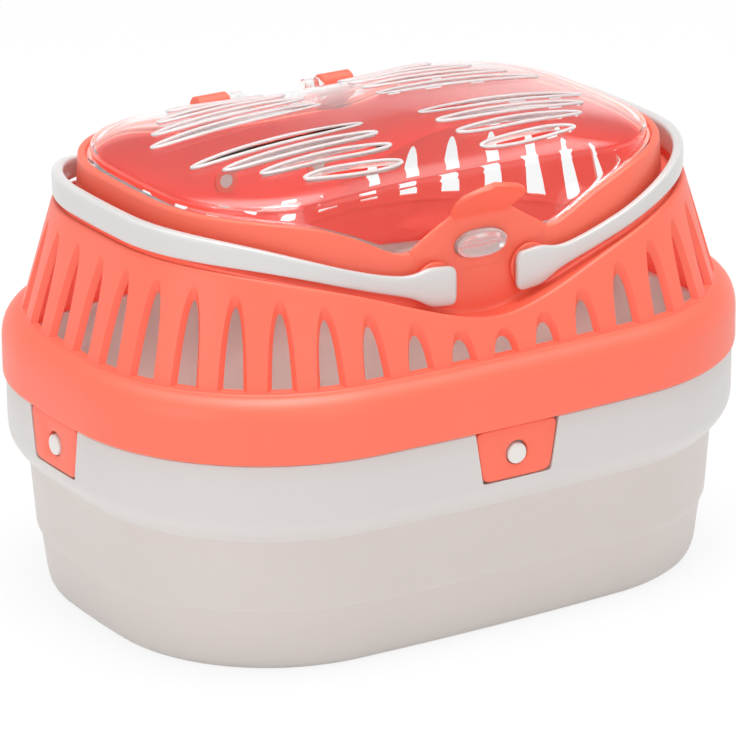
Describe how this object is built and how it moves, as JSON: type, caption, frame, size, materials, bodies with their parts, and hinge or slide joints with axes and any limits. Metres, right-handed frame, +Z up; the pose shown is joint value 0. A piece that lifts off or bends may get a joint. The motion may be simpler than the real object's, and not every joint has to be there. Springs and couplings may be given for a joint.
{
  "type": "small pet carrier",
  "caption": "Plastic carrier for small pets: translucent tub, slotted coral cage clipped over it, clear domed hinged lid with a sprung latch flap, and two white bail handles.",
  "frame": {"origin": "centre of the footprint, on the surface the tub stands on", "axes": "+X along the length, -Y towards the front with the lid's latch, +Z up"},
  "size_m": [0.3, 0.22, 0.1955],
  "materials": {
    "coral_plastic": "satin",
    "tub_plastic": "satin",
    "white_plastic": "gloss",
    "clear_plastic": "gloss"
  },
  "bodies": {
    "tub": {"tub": "tub_plastic", "side_pegs": "white_plastic"},
    "cage": {"cage": "coral_plastic", "pivot_bosses": "coral_plastic", "hinge_lugs": "coral_plastic"},
    "lid": {"lid": "clear_plastic", "lid_button": "clear_plastic", "lid_hinge_pins": "clear_plastic"},
    "latch_flap": {"latch_flap": "coral_plastic", "thumb_lip": "coral_plastic"},
    "handle_left": {"handle_left": "white_plastic"},
    "handle_right": {"handle_right": "white_plastic"},
    "tab_front": {"tab_front": "coral_plastic"},
    "tab_back": {"tab_back": "coral_plastic"},
    "tab_left": {"tab_left": "coral_plastic"},
    "tab_right": {"tab_right": "coral_plastic"}
  },
  "joints": [
    {"name": "cage_lift", "type": "slide", "parent": "tub", "child": "cage", "axis": [0, 0, 1], "range_m": [0, 0.12]},
    {"name": "lid_hinge", "type": "hinge", "parent": "cage", "child": "lid", "pos_m": [0, 0.0765, 0.18215], "axis": [-1, 0, 0], "range_deg": [0, 110]},
    {"name": "latch_flex", "type": "hinge", "parent": "cage", "child": "latch_flap", "pos_m": [0, -0.0816, 0.15065], "axis": [1, 0, 0], "range_deg": [0, 8], "stiffness_Nm_per_rad": 1},
    {"name": "handle_left_pivot", "type": "hinge", "parent": "cage", "child": "handle_left", "pos_m": [-0.0224, 0, 0.14805], "axis": [0, -1, 0], "range_deg": [-75, 0]},
    {"name": "handle_right_pivot", "type": "hinge", "parent": "cage", "child": "handle_right", "pos_m": [0.0224, 0, 0.14805], "axis": [0, 1, 0], "range_deg": [-75, 0]},
    {"name": "tab_front_flex", "type": "hinge", "parent": "cage", "child": "tab_front", "pos_m": [0, -0.107, 0.0926], "axis": [-1, 0, 0], "range_deg": [0, 15], "stiffness_Nm_per_rad": 0.6},
    {"name": "tab_back_flex", "type": "hinge", "parent": "cage", "child": "tab_back", "pos_m": [0, 0.107, 0.0926], "axis": [1, 0, 0], "range_deg": [0, 15], "stiffness_Nm_per_rad": 0.6},
    {"name": "tab_right_flex", "type": "hinge", "parent": "cage", "child": "tab_right", "pos_m": [0.147, 0, 0.0926], "axis": [0, -1, 0], "range_deg": [0, 15], "stiffness_Nm_per_rad": 0.6},
    {"name": "tab_left_flex", "type": "hinge", "parent": "cage", "child": "tab_left", "pos_m": [-0.147, 0, 0.0926], "axis": [0, 1, 0], "range_deg": [0, 15], "stiffness_Nm_per_rad": 0.6}
  ]
}
